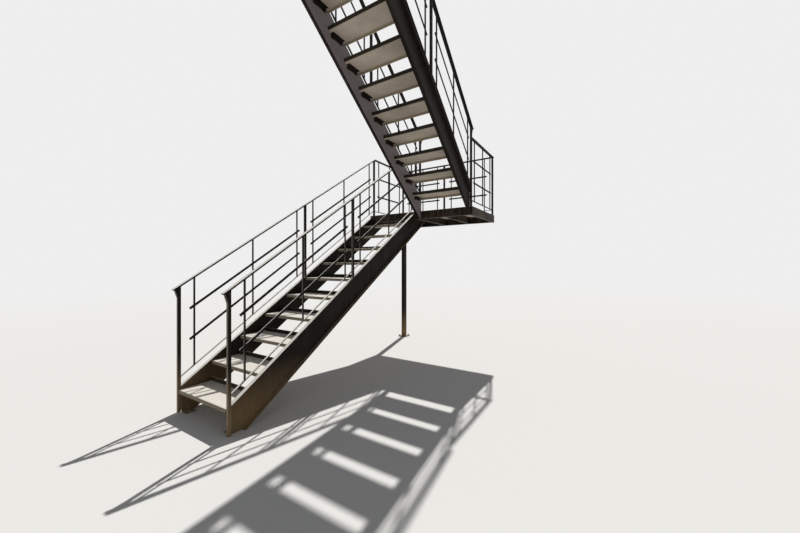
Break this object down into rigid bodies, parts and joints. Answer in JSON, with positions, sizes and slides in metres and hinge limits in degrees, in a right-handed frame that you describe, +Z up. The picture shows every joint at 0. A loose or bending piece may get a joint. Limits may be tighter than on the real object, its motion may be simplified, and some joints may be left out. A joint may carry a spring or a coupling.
{
  "type": "outdoor steel stair",
  "caption": "Steel escape stair of two flights that turn back at a landing, with channel stringers, bent plate treads and bar railings.",
  "frame": {"origin": "centre of the outer face of the landing's right-hand channel, which is bolted to the building's timber or wall", "axes": "+X out of the bolted side, away from the stair; +Y the way the lower flight climbs; +Z up"},
  "size_m": [1.6673, 3.7508, 4.9218],
  "materials": {
    "frame_paint": "weathered dark bronze paint with small rust marks",
    "rail_paint": "weathered dark bronze paint, worn along the tops",
    "tread_paint": "trodden paint, bleached grey and dusty"
  },
  "bodies": {
    "root": {"lower_stringer_left": "frame_paint", "lower_stringer_right": "frame_paint", "upper_stringer_left": "frame_paint", "upper_stringer_right": "frame_paint", "lower_tread_01": "tread_paint", "lower_tread_02": "tread_paint", "lower_tread_03": "tread_paint", "lower_tread_04": "tread_paint", "lower_tread_05": "tread_paint", "lower_tread_06": "tread_paint", "lower_tread_07": "tread_paint", "lower_tread_08": "tread_paint", "lower_tread_09": "tread_paint", "lower_tread_10": "tread_paint", "upper_tread_01": "tread_paint", "upper_tread_02": "tread_paint", "upper_tread_03": "tread_paint", "upper_tread_04": "tread_paint", "upper_tread_05": "tread_paint", "upper_tread_06": "tread_paint", "upper_tread_07": "tread_paint", "upper_tread_08": "tread_paint", "upper_tread_09": "tread_paint", "upper_tread_10": "tread_paint", "lower_carriers_left": "frame_paint", "lower_carriers_right": "frame_paint", "upper_carriers_left": "frame_paint", "upper_carriers_right": "frame_paint", "landing_header": "frame_paint", "landing_rear_channel": "frame_paint", "landing_left_channel": "frame_paint", "landing_right_channel": "frame_paint", "landing_joists": "frame_paint", "landing_floor": "tread_paint", "landing_post": "frame_paint", "landing_post_base": "frame_paint", "lower_railing_left": "rail_paint", "lower_railing_right": "rail_paint", "upper_railing_left": "rail_paint", "upper_railing_right": "rail_paint", "landing_railing_left": "rail_paint", "landing_railing_rear": "rail_paint", "landing_railing_right": "rail_paint", "foot_angles": "frame_paint", "upper_end_plates": "frame_paint"}
  },
  "joints": []
}
